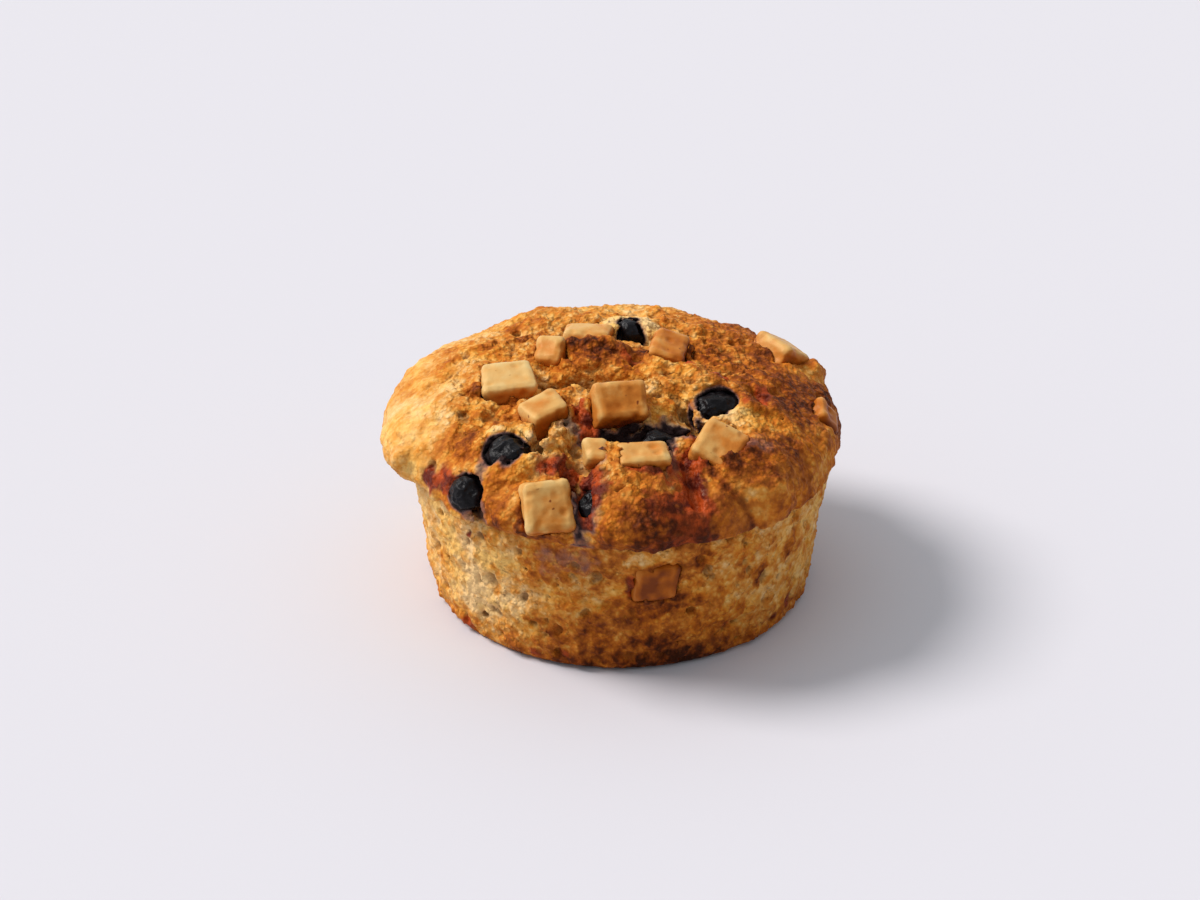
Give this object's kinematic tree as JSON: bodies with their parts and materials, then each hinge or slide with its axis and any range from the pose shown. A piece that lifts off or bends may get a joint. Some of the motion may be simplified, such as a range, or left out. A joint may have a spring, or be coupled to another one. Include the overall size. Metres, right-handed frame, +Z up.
{
  "type": "blueberry muffin",
  "caption": "Low round muffin baked without a paper case, its browned cap spread over a tapered side, with blueberries and blond chocolate chunks sunk in the crumb.",
  "frame": {"origin": "middle of the flat base the muffin rests on", "axes": "+Z up from the base to the crown of the cap, -Y towards the side the picture shows at the front, +X to its right"},
  "size_m": [0.0829, 0.0832, 0.0471],
  "materials": {
    "crumb": "baked cake crumb with a browned crust",
    "chocolate": "blond baked chocolate, satin",
    "berry": "baked blueberry, glossy and slightly wrinkled"
  },
  "bodies": {
    "root": {"crumb": "crumb", "chunk_1": "chocolate", "chunk_2": "chocolate", "chunk_3": "chocolate", "chunk_4": "chocolate", "chunk_5": "chocolate", "chunk_6": "chocolate", "chunk_7": "chocolate", "chunk_8": "chocolate", "chunk_9": "chocolate", "chunk_10": "chocolate", "chunk_11": "chocolate", "chunk_12": "chocolate", "chunk_13": "chocolate", "chunk_14": "chocolate", "chunk_15": "chocolate", "chunk_16": "chocolate", "berry_1": "berry", "berry_2": "berry", "berry_3": "berry", "berry_4": "berry", "berry_5": "berry", "berry_6": "berry", "berry_7": "berry", "berry_8": "berry"}
  },
  "joints": []
}
